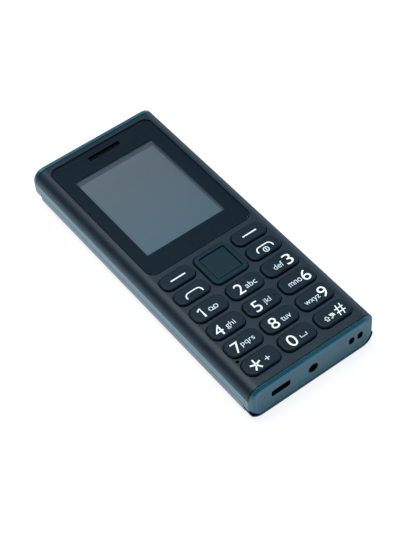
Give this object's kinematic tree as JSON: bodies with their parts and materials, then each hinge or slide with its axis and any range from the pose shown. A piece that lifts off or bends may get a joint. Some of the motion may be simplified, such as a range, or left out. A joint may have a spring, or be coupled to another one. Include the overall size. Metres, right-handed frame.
{
  "type": "keypad mobile phone",
  "caption": "Bar-shaped keypad mobile phone with pressing keys, a tilting navigation ring, a display window and a back cover that comes off over a removable battery.",
  "frame": {"origin": "middle of the underside, phone lying on its back", "axes": "+X to the right of someone reading the front, +Y to the earpiece end, +Z out of the front"},
  "size_m": [0.05, 0.12, 0.0157],
  "materials": {
    "shell_plastic": "fine moulded texture, charcoal",
    "frame_plastic": "satin moulded, dark teal",
    "cover_plastic": "fine moulded texture, charcoal",
    "chassis_plastic": "plain moulded, black",
    "screw_steel": "small machine screws",
    "lens_acrylic": "polished clear panel, dark tint",
    "mask_ink": "printed blue-black film",
    "adhesive": "thin adhesive frame",
    "foam": "black foam",
    "lcd": "unlit grey liquid crystal panel",
    "backlight": "white light guide in its tray",
    "flex": "amber flexible circuit",
    "mesh": "black woven dust mesh",
    "key_plastic": "satin blue-black keycaps",
    "seat_plastic": "plain moulded",
    "silicone": "translucent white silicone",
    "dome_film": "film with snap domes",
    "board": "green circuit board",
    "chip_resin": "black chip resin",
    "shield_steel": "tinned sheet steel",
    "socket_plastic": "black moulded socket",
    "transducer": "small sound transducer",
    "boot_rubber": "soft rubber tube",
    "battery_case": "aluminium can with a plain wrap",
    "antenna_copper": "stamped antenna strip",
    "led": "small white light",
    "torch_clear": "clear moulded lens"
  },
  "bodies": {
    "cover": {"back_cover": "cover_plastic"},
    "phone": {"front_shell": "shell_plastic", "side_frame": "frame_plastic", "rear_chassis": "chassis_plastic", "chassis_screws": "screw_steel", "display_lens": "lens_acrylic", "lens_mask": "mask_ink", "lens_adhesive": "adhesive", "display_gasket": "foam", "speaker_gasket": "foam", "lcd_glass": "lcd", "lcd_backlight": "backlight", "lcd_flex": "flex", "earpiece_mesh": "mesh", "keypad_mat": "silicone", "dome_sheet": "dome_film", "main_board": "board", "board_chips": "chip_resin", "shield_can_upper": "shield_steel", "shield_can_lower": "shield_steel", "sim_socket_1": "shield_steel", "sim_socket_2": "shield_steel", "card_socket": "shield_steel", "usb_socket": "shield_steel", "vibration_motor": "shield_steel", "audio_jack": "socket_plastic", "battery_connector": "socket_plastic", "earpiece": "transducer", "loudspeaker": "transducer", "microphone": "transducer", "microphone_boot": "boot_rubber", "antenna": "antenna_copper", "torch_led": "led", "torch_lens": "torch_clear"},
    "battery": {"battery": "battery_case"},
    "key_1": {"key_1": "key_plastic"},
    "key_2": {"key_2": "key_plastic"},
    "key_3": {"key_3": "key_plastic"},
    "key_4": {"key_4": "key_plastic"},
    "key_5": {"key_5": "key_plastic"},
    "key_6": {"key_6": "key_plastic"},
    "key_7": {"key_7": "key_plastic"},
    "key_8": {"key_8": "key_plastic"},
    "key_9": {"key_9": "key_plastic"},
    "key_star": {"key_star": "key_plastic"},
    "key_0": {"key_0": "key_plastic"},
    "key_hash": {"key_hash": "key_plastic"},
    "soft_key_left": {"soft_key_left": "key_plastic"},
    "soft_key_right": {"soft_key_right": "key_plastic"},
    "call_key": {"call_key": "key_plastic"},
    "end_key": {"end_key": "key_plastic"},
    "nav_seat": {"nav_seat": "seat_plastic"},
    "nav_ring": {"nav_ring": "key_plastic"},
    "nav_select": {"nav_select": "key_plastic"}
  },
  "joints": [
    {"name": "phone_lift", "type": "slide", "parent": "cover", "child": "phone", "axis": [0, 0, 1], "range_m": [0, 0.03]},
    {"name": "battery_lift", "type": "slide", "parent": "cover", "child": "battery", "axis": [0, 0, 1], "range_m": [0, 0.015]},
    {"name": "key_1_press", "type": "slide", "parent": "phone", "child": "key_1", "axis": [0, 0, -1], "range_m": [0, 0.00035], "stiffness_N_per_m": 4000},
    {"name": "key_2_press", "type": "slide", "parent": "phone", "child": "key_2", "axis": [0, 0, -1], "range_m": [0, 0.00035], "stiffness_N_per_m": 4000},
    {"name": "key_3_press", "type": "slide", "parent": "phone", "child": "key_3", "axis": [0, 0, -1], "range_m": [0, 0.00035], "stiffness_N_per_m": 4000},
    {"name": "key_4_press", "type": "slide", "parent": "phone", "child": "key_4", "axis": [0, 0, -1], "range_m": [0, 0.00035], "stiffness_N_per_m": 4000},
    {"name": "key_5_press", "type": "slide", "parent": "phone", "child": "key_5", "axis": [0, 0, -1], "range_m": [0, 0.00035], "stiffness_N_per_m": 4000},
    {"name": "key_6_press", "type": "slide", "parent": "phone", "child": "key_6", "axis": [0, 0, -1], "range_m": [0, 0.00035], "stiffness_N_per_m": 4000},
    {"name": "key_7_press", "type": "slide", "parent": "phone", "child": "key_7", "axis": [0, 0, -1], "range_m": [0, 0.00035], "stiffness_N_per_m": 4000},
    {"name": "key_8_press", "type": "slide", "parent": "phone", "child": "key_8", "axis": [0, 0, -1], "range_m": [0, 0.00035], "stiffness_N_per_m": 4000},
    {"name": "key_9_press", "type": "slide", "parent": "phone", "child": "key_9", "axis": [0, 0, -1], "range_m": [0, 0.00035], "stiffness_N_per_m": 4000},
    {"name": "key_star_press", "type": "slide", "parent": "phone", "child": "key_star", "axis": [0, 0, -1], "range_m": [0, 0.00035], "stiffness_N_per_m": 4000},
    {"name": "key_0_press", "type": "slide", "parent": "phone", "child": "key_0", "axis": [0, 0, -1], "range_m": [0, 0.00035], "stiffness_N_per_m": 4000},
    {"name": "key_hash_press", "type": "slide", "parent": "phone", "child": "key_hash", "axis": [0, 0, -1], "range_m": [0, 0.00035], "stiffness_N_per_m": 4000},
    {"name": "soft_key_left_press", "type": "slide", "parent": "phone", "child": "soft_key_left", "axis": [0, 0, -1], "range_m": [0, 0.00035], "stiffness_N_per_m": 4000},
    {"name": "soft_key_right_press", "type": "slide", "parent": "phone", "child": "soft_key_right", "axis": [0, 0, -1], "range_m": [0, 0.00035], "stiffness_N_per_m": 4000},
    {"name": "call_key_press", "type": "slide", "parent": "phone", "child": "call_key", "axis": [0, 0, -1], "range_m": [0, 0.00035], "stiffness_N_per_m": 4000},
    {"name": "end_key_press", "type": "slide", "parent": "phone", "child": "end_key", "axis": [0, 0, -1], "range_m": [0, 0.00035], "stiffness_N_per_m": 4000},
    {"name": "nav_select_press", "type": "slide", "parent": "phone", "child": "nav_select", "axis": [0, 0, -1], "range_m": [0, 0.00035], "stiffness_N_per_m": 4000},
    {"name": "nav_tilt_up_down", "type": "hinge", "parent": "phone", "child": "nav_seat", "pos_m": [0, -0.0134, 0.0118], "axis": [1, 0, 0], "range_deg": [-1.5, 1.5], "stiffness_Nm_per_rad": 0.5},
    {"name": "nav_tilt_left_right", "type": "hinge", "parent": "nav_seat", "child": "nav_ring", "pos_m": [0, -0.0134, 0.0118], "axis": [0, 1, 0], "range_deg": [-1.5, 1.5], "stiffness_Nm_per_rad": 0.5}
  ],
  "couplings": [
    {"joint": "battery_lift", "follows": "phone_lift", "ratio": 0.5}
  ]
}
